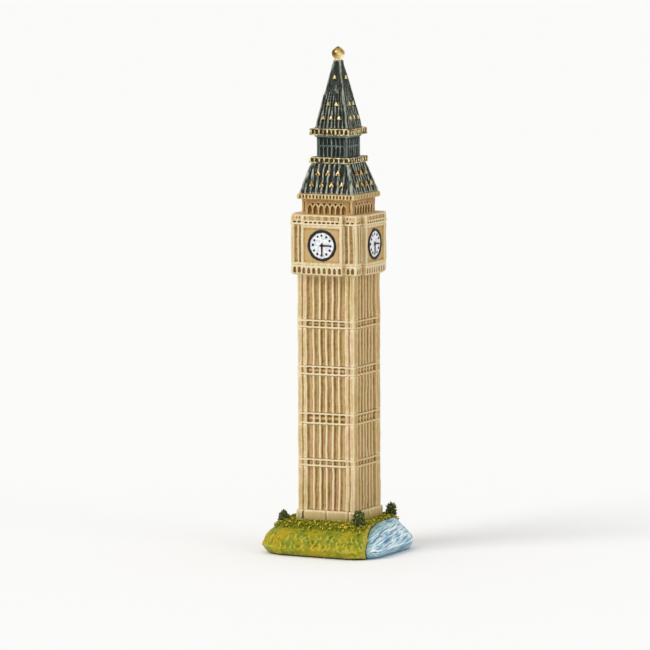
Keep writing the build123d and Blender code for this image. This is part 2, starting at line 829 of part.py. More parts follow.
def make_shrub(x, y, radius, height, ground):
    """A rounded conical shrub, trimmed to the ground that it stands on."""
    foot = mound_height - mound_crown_drop - shrub_sink
    top = mound_height - mound_crown_drop / 2 + height
    with BuildPart() as shrub:
        with BuildSketch(Plane.XZ.offset(-y)):
            with BuildLine():
                foot_edge = (x + radius * shrub_foot_taper, foot)
                belly = (x + radius, foot + shrub_sink + radius)
                Polyline((x, top), (x, foot), foot_edge)
                Spline(foot_edge, belly, (x, top), tangents=((0.2, 1), (-1, 0.15)))
            make_face()
        revolve(axis=Axis((x, y, 0), (0, 0, 1)))
        for piece in ground:
            add(piece, mode=Mode.SUBTRACT)
    return shrub.part


os.makedirs("parts", exist_ok=True)

mound = make_mound()
river = make_river()
write_piece(mound, "mound")
write_piece(river, "river")
for shrub_name, (x_sign, y_sign, x_gap, y_gap, shrub_radius, shrub_height) in shrubs.items():
    shrub_x = x_sign * (plinth_width / 2 + x_gap)
    shrub_y = y_sign * (plinth_width / 2 + y_gap)
    write_piece(
        make_shrub(shrub_x, shrub_y, shrub_radius, shrub_height, (mound, river)),
        shrub_name,
    )

write_piece(make_plinth(), "plinth")
level = shaft_bottom
for number, tier_height in enumerate(tier_heights, 1):
    write_piece(make_tier(level, tier_height), f"shaft_tier_{number}")
    level += tier_height
    if number <= len(course_heights):
        course_height = course_heights[number - 1]
        write_piece(make_course(level, course_height), f"string_course_{number}")
        level += course_height

write_piece(make_corbel_course(), "corbel_course")
write_piece(make_clock_body(), "clock_body")
write_piece(make_parapet(), "clock_parapet")
for face in SIDES:
    write_piece(make_dial_bay(face), f"dial_bay_{face}")
    write_piece(make_dial(face), f"dial_{face}")
    write_piece(make_dial_ring(face), f"dial_ring_{face}")
    write_piece(make_hour_marks(face), f"hour_marks_{face}")
    write_piece(make_hand(face, 0, hour_hand_length, -90), f"hour_hand_{face}")
    write_piece(make_hand(face, hand_thickness, minute_hand_length, 180), f"minute_hand_{face}")

write_piece(make_belfry(), "belfry")
write_piece(make_eaves(), "eaves_cornice")

lower_roof = make_lower_roof()
write_piece(lower_roof, "lower_roof")
write_piece(
    make_gablets(
        lower_roof,
        roof_foot_width,
        roof_top_width,
        roof_height,
        roof_bottom,
        roof_gablet_rows,
        roof_gablet_spacing,
        roof_gablet_leg,
    ),
    "lower_roof_gablets",
)
write_piece(
    make_gallery(lower_gallery_width, lower_gallery_bottom, lower_gallery_height, lower_gallery_openings),
    "lower_gallery",
)
write_piece(make_lantern(), "lantern")
write_piece(
    make_gallery(upper_gallery_width, upper_gallery_bottom, upper_gallery_height, upper_gallery_openings),
    "upper_gallery",
)

spire = make_spire()
write_piece(spire, "spire")
write_piece(
    make_gablets(
        spire,
        spire_foot_width,
        spire_top_width,
        spire_height,
        spire_bottom,
        spire_gablet_rows,
        spire_gablet_spacing,
        spire_gablet_leg,
    ),
    "spire_gablets",
)
write_piece(make_finial(), "finial")
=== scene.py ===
"""Looks of the miniature clock tower: a resin casting painted by hand, on a grassy mound beside a river.

Metres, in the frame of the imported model: the front faces -Y, and the river runs along the +X side.
"""

import math
import random

import bpy
import numpy as np
from mathutils import Matrix, Vector
from mathutils.bvhtree import BVHTree


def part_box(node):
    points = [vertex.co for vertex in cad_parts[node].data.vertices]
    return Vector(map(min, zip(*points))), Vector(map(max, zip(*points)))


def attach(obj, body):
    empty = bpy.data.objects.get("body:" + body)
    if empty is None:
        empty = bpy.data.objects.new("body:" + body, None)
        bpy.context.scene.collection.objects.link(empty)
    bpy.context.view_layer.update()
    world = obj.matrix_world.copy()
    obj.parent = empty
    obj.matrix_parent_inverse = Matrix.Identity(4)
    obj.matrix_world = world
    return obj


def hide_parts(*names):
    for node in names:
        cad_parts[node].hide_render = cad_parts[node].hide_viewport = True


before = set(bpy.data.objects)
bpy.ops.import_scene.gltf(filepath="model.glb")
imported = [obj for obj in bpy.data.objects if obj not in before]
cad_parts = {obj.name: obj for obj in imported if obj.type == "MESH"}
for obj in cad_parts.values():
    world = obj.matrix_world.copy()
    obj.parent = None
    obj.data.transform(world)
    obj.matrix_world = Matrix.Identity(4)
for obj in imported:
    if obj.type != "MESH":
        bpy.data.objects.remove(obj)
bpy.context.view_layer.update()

MM = 0.001
QUARTER_TURNS = {"front": 0, "right": 1, "back": 2, "left": 3}
hand = random.Random(7)

# Casting: the grids that pieces are remeshed on, and how a soft mould and a knife leave the tower's.
CAST_GRID = 0.145 * MM
TRACERY_GRID = 0.123 * MM
FINE_GRID = 0.098 * MM
TURF_GRID = 0.18 * MM
WATER_GRID = 0.12 * MM
LEAF_GRID = 0.08 * MM
HAND_GRID = 0.035 * MM
SEAT_OVERLAP = 0.1 * MM
WOBBLE_LENGTH = 4.0 * MM
WOBBLE_DEPTH = 0.26 * MM
PITTING_LENGTH = 0.9 * MM
PITTING_DEPTH = 0.08 * MM
SCORE_LENGTH = 0.6 * MM
SCORE_STRETCH = 8.0
STONE_SCORING = 0.07 * MM
ROOF_SCORING = 0.32 * MM
SPIRE_SCORING = 0.26 * MM
LANTERN_SCORING = 0.12 * MM
FINIAL_SWELL = 0.25 * MM

# Beads on the galleries: heights are shares of the gallery's own, the rest is in millimetres.
GALLERY_POST = 0.36
CORNER_BEAD = {"height": 0.4, "width": 0.26, "inset": 0.16}
POST_BEAD = {"height": (0.3, 0.38), "width": (0.15, 0.2), "inset": 0.1}
BEAD_DEPTH = 0.2
BEAD_SHIFT = 0.08
BEAD_LEAN = 0.15  # radians

# Paint patterns. Filler grains and gold flakes are really under 0.1 mm, which is too fine to show on a
# whole tower, so both are drawn coarser. On gold the same patches carry painted glints and painted dark
# reflections, and on the finial they are as wide as a brush.
GRAIN = 0.25 * MM
GRAIN_HEIGHT = 0.03 * MM
FLECK_AND_GLINT = 0.5 * MM
BALL_GLINT_PATCH = 1.8 * MM

# Dials: how far in and how far up each ring of the enamel's swell goes, and how far out the marks
# stand, in millimetres.
DIAL_SWELL = ((0.3, 0.01), (0.7, 0.015), (0.8, 0.01), (0.6, 0.005))
MARK_REACH = 1.93
STROKE_DEPTH = 0.14 * MM

# Mound: where the grass on top begins, and how far from the water the bank's own colours reach.
GRASS_LINE = 5.3 * MM
BANK_REACH = 1.5 * MM
STREAM_RISE = math.radians(9)
STREAM_STRETCH = 14.0
MOUND_RADIUS = 14 * MM
WELL_OUTSIDE = 40 * MM
WELL_ABOVE = 20 * MM
CURL_ROWS = (2.3 * MM, 3.1 * MM, 3.9 * MM)
CURL_PITCH = 1.2 * MM
TUFTS = 950
SHRUB_LEAVES = 80
SHRUB_CORE = (0.74, 0.74, 0.86, 1)
GOLDEN_ANGLE = math.pi * (3 - math.sqrt(5))

# Flowers stand by the front shrub's corner (across, along, size), creeper leaves on the plinth (across,
# up, size) and sprigs in a line beside it, all in millimetres.
FLOWER_SPOTS = ((-0.5, -0.1, 1.1), (-1.1, 0.2, 0.8), (-0.7, -0.7, 0.7))
CREEPER_SPOTS = ((1.45, 1.9, 1.0), (1.7, 2.3, 0.9), (1.5, 2.75, 1.0), (1.75, 3.1, 0.7), (1.6, 1.6, 1.0))
SPRIGS = 9
SPRIG_START = (1.75, -5.6)
SPRIG_STEP = (-0.05, 0.75)

# Studio: each lamp's place and power.
SURROUND_POWER = 0.72
LAMPS = {"key": ((-0.5, -0.85, 0.9), 1.15), "fill": ((1.0, -0.25, 0.45), 0.27)}
LAMP_SPREAD = math.radians(30)

# Camera: a long lens. The roll leans the tower a hair to the left.
CAMERA_TURN = math.radians(25)
CAMERA_RISE = math.radians(5.7)
CAMERA_ROLL = math.radians(0.17)
CAMERA_DISTANCE = 1.2
CAMERA_MIDDLE = 50 * MM
AIM_HEIGHT = 44.9 * MM
AIM_LEFT = 2.75 * MM
LENS = 337
SENSOR = 36


# Working on meshes


def select_only(piece):
    """Makes one object the only one selected, and the active one."""
    bpy.ops.object.select_all(action="DESELECT")
    piece.select_set(True)
    bpy.context.view_layer.objects.active = piece


def modify(piece, kind, **settings):
    """Gives a piece a modifier with these settings and applies it."""
    select_only(piece)
    modifier = piece.modifiers.new(kind.lower(), kind)
    for name, value in settings.items():
        setattr(modifier, name, value)
    bpy.ops.object.modifier_apply(modifier=modifier.name)


def pattern(kind, length, **settings):
    """A texture for displacing a surface, with features about this long."""
    texture = bpy.data.textures.new(f"{kind.lower()}_{length:.5f}", kind)
    texture.noise_scale = length
    for name, value in settings.items():
        setattr(texture, name, value)
    return texture


def displace(piece, texture, depth, direction="NORMAL"):
    """Moves a piece's surface in and out by a texture."""
    modify(piece, "DISPLACE", texture=texture, strength=depth, mid_level=0.5, direction=direction)


def cad_copy(node, name):
    """A copy of a CAD node's mesh as a new piece, with its loose triangles joined up."""
    piece = bpy.data.objects.new(name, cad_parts[node].data.copy())
    piece.data.materials.clear()
    bpy.context.scene.collection.objects.link(piece)
    select_only(piece)
    bpy.ops.object.mode_set(mode="EDIT")
    bpy.ops.mesh.select_all(action="SELECT")
    bpy.ops.mesh.remove_doubles(threshold=0.001 * MM)
    bpy.ops.object.mode_set(mode="OBJECT")
    return piece


def points(piece, wanted="co"):
    """The places of a piece's vertices, or with "normal" their normals, with a row for each."""
    values = np.empty(len(piece.data.vertices) * 3)
    piece.data.vertices.foreach_get(wanted, values)
    return values.reshape(-1, 3)


def move_points(piece, places):
    """Puts a piece's vertices at these places."""
    piece.data.vertices.foreach_set("co", places.ravel())
    piece.data.update()


def lengthen(piece, amount):
    """Runs a piece's flat ends a little into its neighbours, so that no gap shows at a rounded seam."""
    places = points(piece)
    low, high = places[:, 2].min(), places[:, 2].max()
    tolerance = 0.01 * MM
    for end, shift in ((low, -amount), (high, amount)):
        picked = np.abs(places[:, 2] - end) < tolerance
        piece.data.vertices.foreach_set("select", picked)
        select_only(piece)
        bpy.ops.object.mode_set(mode="EDIT")
        bpy.ops.mesh.select_mode(type="VERT")
        bpy.ops.transform.translate(value=(0, 0, shift))
        bpy.ops.object.mode_set(mode="OBJECT")


def join(first, others):
    """Joins other objects into the first."""
    select_only(first)
    for other in others:
        other.select_set(True)
    bpy.ops.object.join()
    return first


def copies(model, places, name):
    """One object made of copies of a model's mesh, one for each matrix. The model goes."""
    made = []
    for place in places:
        copy = bpy.data.objects.new(name, model.data.copy())
        copy.data.transform(place)
        bpy.context.scene.collection.objects.link(copy)
        made.append(copy)
    bpy.data.objects.remove(model)
    return join(made[0], made[1:])


def settle(piece):
    """Puts a piece's place and size into its mesh."""
    select_only(piece)
    bpy.ops.object.transform_apply(location=True, rotation=True, scale=True)
    return piece


def add_relief(piece, name, steps, span, upright=False):
    """Stores, from -1 in hollows to 1 on edges, how far each point stands out of its surroundings.

    The surroundings are the surface averaged over a number of steps along its edges. The span is the
    height that counts as a whole edge, and upright leaves out what a slope alone would give."""
    mesh = piece.data
    places = points(piece)
    normals = points(piece, "normal")
    if upright:
        normals[:, 2] = 0
        normals /= np.maximum(np.linalg.norm(normals, axis=1, keepdims=True), 1e-9)
    ends = np.empty(len(mesh.edges) * 2, dtype=np.int64)
    mesh.edges.foreach_get("vertices", ends)
    ends = ends.reshape(-1, 2)
    start = np.concatenate((ends[:, 0], ends[:, 1]))
    finish = np.concatenate((ends[:, 1], ends[:, 0]))
    count = len(places)
    neighbours = np.maximum(np.bincount(start, minlength=count), 1)
    average = places.copy()
    for _ in range(steps):
        sums = [np.bincount(start, weights=average[finish, axis], minlength=count) for axis in range(3)]
        average = np.stack(sums, axis=1) / neighbours[:, None]
    relief = np.einsum("ij,ij->i", places - average, normals) / span
    attribute = mesh.attributes.new(name, "FLOAT", "POINT")
    attribute.data.foreach_set("value", np.clip(relief, -1, 1).astype(np.float32))


def finish_piece(piece, material, node=None):
    """Gives a piece its finish and its body, and hides the CAD node that it stands for."""
    piece.data.materials.clear()
    piece.data.materials.append(material)
    select_only(piece)
    bpy.ops.object.shade_smooth()
    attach(piece, "root")
    if node:
        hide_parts(node)
    return piece


# Materials


def linear(code, alpha=1.0):
    """A colour written in sRGB hex, as the linear values that a shader takes."""
    channels = [int(code[i : i + 2], 16) / 255 for i in (0, 2, 4)]
    values = [c / 12.92 if c <= 0.04045 else ((c + 0.055) / 1.055) ** 2.4 for c in channels]
    return (*values, alpha)


MIX_FACTOR, MIX_A, MIX_B, MIX_RESULT = 0, 6, 7, 2  # sockets of a colour Mix node


def add(tree, kind, inputs=None, stops=None, **settings):
    """Adds one node with its settings, the colours of its ramp, and its inputs as values or links."""
    node = tree.nodes.new(kind)
    for name, value in settings.items():
        setattr(node, name, value)
    if stops:
        elements = node.color_ramp.elements
        while len(elements) < len(stops):
            elements.new(1.0)
        for element, (position, colour) in zip(elements, stops):
            element.position = position
            element.color = colour
    for socket, value in (inputs or {}).items():
        if isinstance(value, bpy.types.NodeSocket):
            tree.links.new(value, node.inputs[socket])
        else:
            node.inputs[socket].default_value = value
    return node


def new_material(name, roughness, gloss=0.3):
    """A material with one shader. Matt craft paint has a weaker gloss than bare resin, at the same IOR."""
    material = bpy.data.materials.new(name)
    material.use_nodes = True
    tree = material.node_tree
    tree.nodes.clear()
    surface = {"Roughness": roughness, "Specular IOR Level": gloss}
    shader = add(tree, "ShaderNodeBsdfPrincipled", surface)
    add(tree, "ShaderNodeOutputMaterial", {"Surface": shader.outputs[0]})
    return material, tree, shader


def level(grey):
    """A grey for a ramp that steers a mix."""
    return (grey, grey, grey, 1.0)


def placed(tree, scale=(1, 1, 1)):
    """Object coordinates in metres, scaled along each axis before a pattern reads them."""
    place = add(tree, "ShaderNodeTexCoord").outputs["Object"]
    return add(tree, "ShaderNodeMapping", {"Vector": place, "Scale": scale}).outputs[0]


def worn_relief(tree, noise, swing, attribute="fine", broad_share=0.0):
    """How far a point stands out of its surroundings, made uneven by a brush's noise. A share of the
    broad relief may be added to the fine one."""
    relief = add(tree, "ShaderNodeAttribute", attribute_name=attribute).outputs["Fac"]
    if broad_share:
        broad = add(tree, "ShaderNodeAttribute", attribute_name="broad").outputs["Fac"]
        inputs = {0: broad, 1: broad_share, 2: relief}
        relief = add(tree, "ShaderNodeMath", inputs, operation="MULTIPLY_ADD").outputs[0]
    inputs = {0: noise, 1: swing, 2: -swing / 2}
    uneven = add(tree, "ShaderNodeMath", inputs, operation="MULTIPLY_ADD")
    return add(tree, "ShaderNodeMath", {0: relief, 1: uneven.outputs[0]}, operation="ADD").outputs[0]


def layered(tree, ground, coats):
    """Lays coats of paint over a ground colour, each as strong as its mask, in this order."""
    for mask, paint in coats:
        inputs = {MIX_FACTOR: mask.outputs[0], MIX_A: ground, MIX_B: paint}
        ground = add(tree, "ShaderNodeMix", inputs, data_type="RGBA").outputs[MIX_RESULT]
    return ground


def painted_stone_resin(name, soak, side_shade_strength, bodies, highlight="EEE3C0"):
    """Cream paint on cast polyresin, washed with thin brown that stays in the hollows and dry-brushed
    pale along the edges. It gives the ribs their pale lines between tan panels. The more it has soaked
    in, the browner it is. The foot is stained green by the grass. The side facing +X, by the river, is
    darkened and warmed by a multiplied tint: painted shade on the side turned away from the key light."""
    material, tree, shader = new_material(name, 0.58, gloss=0.12)
    patches = add(
        tree,
        "ShaderNodeTexNoise",
        {"Vector": placed(tree, (1, 1, 0.45)), "Scale": 1 / (2.4 * MM), "Detail": 3.0},
    )
    streaks = add(
        tree,
        "ShaderNodeTexNoise",
        {"Vector": placed(tree, (1, 1, 0.12)), "Scale": 1 / (0.4 * MM), "Detail": 4.0},
    )
    body = add(
        tree,
        "ShaderNodeValToRGB",
        {"Fac": patches.outputs[0]},
        stops=[(0.34 + 0.16 * step, linear(code)) for step, code in enumerate(bodies)],
    )
    worn = worn_relief(tree, streaks.outputs[0], 0.8, broad_share=0.6)
    wash = add(
        tree,
        "ShaderNodeMapRange",
        {"Value": worn, "From Min": soak - 0.1, "From Max": soak - 1.1, "To Max": 0.8},
        interpolation_type="SMOOTHSTEP",
    )
    pigment = add(
        tree,
        "ShaderNodeValToRGB",
        {"Fac": wash.outputs[0]},
        stops=((0.3, linear("AE8646")), (0.95, linear("6A4119"))),
    )
    brushed = add(
        tree,
        "ShaderNodeMapRange",
        {"Value": worn, "From Min": 0.14, "From Max": 0.95, "To Max": 0.76},
        interpolation_type="SMOOTHSTEP",
    )
    place = add(tree, "ShaderNodeTexCoord")
    height = add(tree, "ShaderNodeSeparateXYZ", {0: place.outputs["Object"]})
    low = add(
        tree,
        "ShaderNodeMapRange",
        {"Value": height.outputs[2], "From Min": 8.0 * MM, "From Max": 6.6 * MM, "To Max": 1.2},
    )
    moss = add(tree, "ShaderNodeMath", {0: low.outputs[0], 1: patches.outputs[0]}, operation="MULTIPLY")
    coats = ((wash, pigment.outputs[0]), (brushed, linear(highlight)), (moss, linear("9A9550")))
    stained = layered(tree, body.outputs[0], coats)
    facing = add(tree, "ShaderNodeSeparateXYZ", {0: place.outputs["Normal"]})
    # Painted shade: the side facing +X, turned away from the key light, is darkened and warmed by a
    # multiplied tint.
    painted_side_shade = add(
        tree,
        "ShaderNodeMapRange",
        {"Value": facing.outputs[0], "From Min": 0.2, "From Max": 0.9, "To Max": side_shade_strength},
    )
    side_shaded = add(
        tree,
        "ShaderNodeMix",
        {MIX_FACTOR: painted_side_shade.outputs[0], MIX_A: stained, MIX_B: linear("F1E6CF")},
        data_type="RGBA",
        blend_type="MULTIPLY",
    )
    tree.links.new(side_shaded.outputs[MIX_RESULT], shader.inputs["Base Color"])
    grain = add(tree, "ShaderNodeTexNoise", {"Vector": placed(tree), "Scale": 1 / GRAIN})
    dents = {"Height": grain.outputs[0], "Strength": 0.25, "Distance": GRAIN_HEIGHT}
    bump = add(tree, "ShaderNodeBump", dents)
    tree.links.new(bump.outputs[0], shader.inputs["Normal"])
    return material


def painted_roof_resin(name, trough, shade, face, edge):
    """Dark green paint under a black wash, dry-brushed with pale grey-green. The ribs and hips show as
    pale, slightly chalky lines, and the troughs are nearly black."""
    material, tree, shader = new_material(name, 0.5)
    streaks = add(
        tree,
        "ShaderNodeTexNoise",
        {"Vector": placed(tree, (1, 1, 0.2)), "Scale": 1 / (0.5 * MM), "Detail": 4.0},
    )
    worn = worn_relief(tree, streaks.outputs[0], 1.2, broad_share=0.5)
    height = add(tree, "ShaderNodeMath", {0: worn, 1: 0.5, 2: 0.5}, operation="MULTIPLY_ADD")
    tones = ((0.31, linear(trough)), (0.5, linear(shade)), (0.66, linear(face)), (0.9, linear(edge)))
    paint = add(tree, "ShaderNodeValToRGB", {"Fac": height.outputs[0]}, stops=tones)
    tree.links.new(paint.outputs[0], shader.inputs["Base Color"])
    grain = add(tree, "ShaderNodeTexNoise", {"Vector": placed(tree), "Scale": 1 / GRAIN})
    dents = {"Height": grain.outputs[0], "Strength": 0.3, "Distance": GRAIN_HEIGHT}
    bump = add(tree, "ShaderNodeBump", dents)
    tree.links.new(bump.outputs[0], shader.inputs["Normal"])
    return material


def gold_paint(name, grain, roughness, hollow, dull, gold, bright, hollow_from, hollow_to):
    """Gold bronze paint: metal flake in lacquer, brushed on by hand. It glints on the edges, and the
    hollows keep the colour beneath it, which gives way to gold between these two depths of relief. Its
    tone runs from dull to near white in random patches: painted glints and painted dark reflections."""
    material, tree, shader = new_material(name, 0.4, gloss=0.5)
    speckle = add(tree, "ShaderNodeTexNoise", {"Vector": placed(tree), "Scale": 1 / grain, "Detail": 2.0})
    cover = worn_relief(tree, speckle.outputs[0], 0.6)
    gilded = add(
        tree,
        "ShaderNodeMapRange",
        {"Value": cover, "From Min": hollow_from, "From Max": hollow_to},
        interpolation_type="SMOOTHSTEP",
    )
    # Painted glints and painted dark reflections: the flake tone runs from dull to near white in random
    # patches.
    tone = add(
        tree,
        "ShaderNodeValToRGB",
        {"Fac": speckle.outputs[0]},
        stops=((0.36, linear(dull)), (0.5, linear(gold)), (0.63, linear(bright))),
    )
    colour = add(
        tree,
        "ShaderNodeMix",
        {MIX_FACTOR: gilded.outputs[0], MIX_A: linear(hollow), MIX_B: tone.outputs[0]},
        data_type="RGBA",
    )
    flake = add(tree, "ShaderNodeMath", {0: gilded.outputs[0], 1: 0.75}, operation="MULTIPLY")
    sheen = add(
        tree,
        "ShaderNodeMapRange",
        {"Value": speckle.outputs[0], "To Min": roughness - 0.1, "To Max": roughness + 0.1},
    )
    tree.links.new(colour.outputs[MIX_RESULT], shader.inputs["Base Color"])
    tree.links.new(flake.outputs[0], shader.inputs["Metallic"])
    tree.links.new(sheen.outputs[0], shader.inputs["Roughness"])
    return material


def painted_turf():
    """Yellow-green and ochre paints brushed wet over sculpted turf, with dark green left in the hollows
    and a near-black band along the bottom edge: painted shadow where the mound meets the table."""
    material, tree, shader = new_material("painted_turf", 0.5, gloss=0.1)
    patches = add(
        tree,
        "ShaderNodeTexNoise",
        {"Vector": placed(tree, (1, 1, 1.6)), "Scale": 1 / (3.2 * MM), "Detail": 3.0, "Distortion": 0.6},
    )
    dabs = add(
        tree,
        "ShaderNodeTexNoise",
        {"Vector": placed(tree), "Scale": 1 / (0.8 * MM), "Detail": 3.0},
    )
    body = add(
        tree,
        "ShaderNodeValToRGB",
        {"Fac": patches.outputs[0]},
        stops=((0.36, linear("708228")), (0.48, linear("8F8E1C")), (0.62, linear("A8941A"))),
    )
    worn = worn_relief(tree, dabs.outputs[0], 1.0, broad_share=0.6)
    shade = add(
        tree,
        "ShaderNodeMapRange",
        {"Value": worn, "From Min": 0.0, "From Max": -0.8, "To Max": 0.95},
        interpolation_type="SMOOTHSTEP",
    )
    place = add(tree, "ShaderNodeTexCoord")
    height = add(tree, "ShaderNodeSeparateXYZ", {0: place.outputs["Object"]}).outputs[2]
    blend = 0.2 * MM
    grassy = add(
        tree,
        "ShaderNodeMapRange",
        {"Value": height, "From Min": GRASS_LINE - blend, "From Max": GRASS_LINE + blend, "To Max": 0.85},
    )
    brushed = add(
        tree,
        "ShaderNodeMapRange",
        {"Value": worn, "From Min": 0.15, "From Max": 0.75, "To Max": 0.8},
        interpolation_type="SMOOTHSTEP",
    )
    bank = add(tree, "ShaderNodeAttribute", attribute_name="bank")
    strip = add(
        tree,
        "ShaderNodeValToRGB",
        {"Fac": bank.outputs["Fac"]},
        stops=((0.1, level(0.0)), (0.25, level(0.65)), (0.45, level(0.5)), (0.7, level(0.0))),
    )
    edge = add(
        tree,
        "ShaderNodeMapRange",
        {"Value": bank.outputs["Fac"], "From Min": 0.18, "From Max": 0.05, "To Max": 0.9},
    )
    # Painted shadow: a near-black band along the mound's bottom edge, where it meets the table.
    rim = add(tree, "ShaderNodeMapRange", {"Value": height, "From Min": 0.45 * MM, "From Max": 0.15 * MM})
    coats = (
        (grassy, linear("686A0C")),
        (shade, linear("36400A")),
        (brushed, linear("C3B444")),
        (strip, linear("A89C48")),
        (edge, linear("4A4A22")),
        (rim, linear("26261A")),
    )
    colour = layered(tree, body.outputs[0], coats)
    tree.links.new(colour, shader.inputs["Base Color"])
    bump = add(tree, "ShaderNodeBump", {"Height": dabs.outputs[0], "Strength": 0.35, "Distance": 0.06 * MM})
    tree.links.new(bump.outputs[0], shader.inputs["Normal"])
    return material


def painted_grass():
    """Short curled grass: dark olive at the foot, and tips brushed with straw yellow."""
    material, tree, shader = new_material("painted_grass", 0.5, gloss=0.1)
    dabs = add(
        tree,
        "ShaderNodeTexNoise",
        {"Vector": placed(tree), "Scale": 1 / (0.6 * MM), "Detail": 3.0},
    )
    paint = add(
        tree,
        "ShaderNodeValToRGB",
        {"Fac": worn_relief(tree, dabs.outputs[0], 1.2, attribute="tip")},
        stops=(
            (0.05, linear("3A4306")),
            (0.35, linear("76760C")),
            (0.7, linear("A19A1E")),
            (1.0, linear("D2C558")),
        ),
    )
    tree.links.new(paint.outputs[0], shader.inputs["Base Color"])
    return material


def painted_water():
    """Pale blue paint with white and darker blue strokes drawn along the stream, under a glossy
    varnish. Teal gathers below the bank."""
    material, tree, shader = new_material("painted_water", 0.3, gloss=0.5)
    fine = add(tree, "ShaderNodeAttribute", attribute_name="fine")
    bank = add(tree, "ShaderNodeAttribute", attribute_name="bank")
    place = add(tree, "ShaderNodeTexCoord")
    downstream = add(
        tree,
        "ShaderNodeMapping",
        {"Vector": place.outputs["Object"], "Rotation": (-STREAM_RISE, 0, 0)},
    )
    drawn_out = add(tree, "ShaderNodeMapping", {"Vector": downstream.outputs[0], "Scale": (0.6, 0.045, 1)})
    strokes = add(
        tree,
        "ShaderNodeTexNoise",
        {"Vector": drawn_out.outputs[0], "Scale": 1 / (0.3 * MM), "Detail": 2.0, "Distortion": 0.1},
    )
    ripple = add(tree, "ShaderNodeMath", {0: fine.outputs["Fac"], 1: 0.3}, operation="MULTIPLY")
    tone = add(tree, "ShaderNodeMath", {0: strokes.outputs[0], 1: ripple.outputs[0]}, operation="ADD")
    body = add(
        tree,
        "ShaderNodeValToRGB",
        {"Fac": tone.outputs[0]},
        stops=(
            (0.37, linear("316992")),
            (0.45, linear("8FBCD0")),
            (0.55, linear("BEDCE5")),
            (0.64, linear("F8FCFC")),
        ),
    )
    shore = add(
        tree,
        "ShaderNodeMapRange",
        {"Value": bank.outputs["Fac"], "To Min": 0.85, "To Max": 0.0},
        interpolation_type="SMOOTHSTEP",
    )
    height = add(tree, "ShaderNodeSeparateXYZ", {0: place.outputs["Object"]})
    foot = add(
        tree,
        "ShaderNodeMapRange",
        {"Value": height.outputs[2], "From Min": 1.6 * MM, "From Max": 0.3 * MM, "To Max": 0.85},
    )
    coats = ((shore, linear("6B9A94")), (foot, linear("5C90A8")))
    colour = layered(tree, body.outputs[0], coats)
    tree.links.new(colour, shader.inputs["Base Color"])
    bump = add(tree, "ShaderNodeBump", {"Height": strokes.outputs[0], "Strength": 0.5, "Distance": 0.06 * MM})
    tree.links.new(bump.outputs[0], shader.inputs["Normal"])
    return material


def painted_foliage(name, hollow, shade, leaf, edge):
    """Nearly black green paint stippled with olive and straw yellow, so each leaf keeps a pale edge."""
    material, tree, shader = new_material(name, 0.5)
    stipple = add(
        tree,
        "ShaderNodeTexNoise",
        {"Vector": placed(tree), "Scale": 1 / (0.5 * MM), "Detail": 3.0},
    )
    worn = worn_relief(tree, stipple.outputs[0], 1.2)
    height = add(tree, "ShaderNodeMath", {0: worn, 1: 0.5, 2: 0.5}, operation="MULTIPLY_ADD")
    tones = ((0.34, linear(hollow)), (0.52, linear(shade)), (0.7, linear(leaf)), (0.88, linear(edge)))
    paint = add(tree, "ShaderNodeValToRGB", {"Fac": height.outputs[0]}, stops=tones)
    tree.links.new(paint.outputs[0], shader.inputs["Base Color"])
    return material


def dial_paint(name, pale, dark, roughness):
    """Enamel laid on with a fine brush, slightly uneven in tone and gloss."""
    material, tree, shader = new_material(name, roughness)
    brush = add(
        tree,
        "ShaderNodeTexNoise",
        {"Vector": placed(tree), "Scale": 1 / (0.6 * MM), "Detail": 3.0},
    )
    paint = add(
        tree,
        "ShaderNodeValToRGB",
        {"Fac": brush.outputs[0]},
        stops=((0.37, linear(dark)), (0.56, linear(pale))),
    )
    tree.links.new(paint.outputs[0], shader.inputs["Base Color"])
    strokes = {"Height": brush.outputs[0], "Strength": 0.3, "Distance": 0.03 * MM}
    bump = add(tree, "ShaderNodeBump", strokes)
    tree.links.new(bump.outputs[0], shader.inputs["Normal"])
    return material


def petal_paint():
    """A dab of thick orange and yellow paint."""
    material, tree, shader = new_material("petal_paint", 0.45)
    dab = add(
        tree,
        "ShaderNodeTexNoise",
        {"Vector": placed(tree), "Scale": 1 / (0.4 * MM), "Detail": 2.0},
    )
    paint = add(
        tree,
        "ShaderNodeValToRGB",
        {"Fac": dab.outputs[0]},
        stops=((0.4, linear("E08A1E")), (0.6, linear("F3C53A"))),
    )
    tree.links.new(paint.outputs[0], shader.inputs["Base Color"])
    return material


# Each cream is three tones of one paint, from the darkest patches to the palest.
GOLDEN_CREAM = ("C3A96D", "CDB281", "D0AC84")
PINKISH_CREAM = ("C2A468", "C9AC78", "CCA67A")
TAN = ("AC874C", "B48F58", "B6895A")
# After each name come the wash's soak and how strongly painted shade darkens the +X side.
stone = painted_stone_resin("painted_stone_resin", 0.0, 1.0, GOLDEN_CREAM)
soaked_stone = painted_stone_resin("painted_stone_resin_soaked", 0.2, 0.2, GOLDEN_CREAM)
dial_stone = painted_stone_resin("painted_stone_resin_pinkish", 0.2, 0.2, PINKISH_CREAM)
brown_stone = painted_stone_resin("painted_stone_resin_brown", 0.7, 0.2, TAN, "ECDCAC")
roof_green = painted_roof_resin("painted_roof_resin", "090A07", "2D3228", "535D52", "AEB4A1")
spire_green = painted_roof_resin("painted_spire_resin", "080906", "1F241B", "3A433A", "989D8B")
lantern_green = painted_roof_resin("painted_lantern_resin", "1B211B", "343E35", "536055", "8B978E")
gilt = gold_paint("gold_paint", FLECK_AND_GLINT, 0.35, "5A4A28", "B2924E", "E8CF88", "FFF5C8", -0.75, -0.1)
gilt_worn = gold_paint("gold_paint_worn", FLECK_AND_GLINT, 0.35, "2C2A18", "7E6232", "CDA75C", "FBEAB4", -0.45, 0.2)
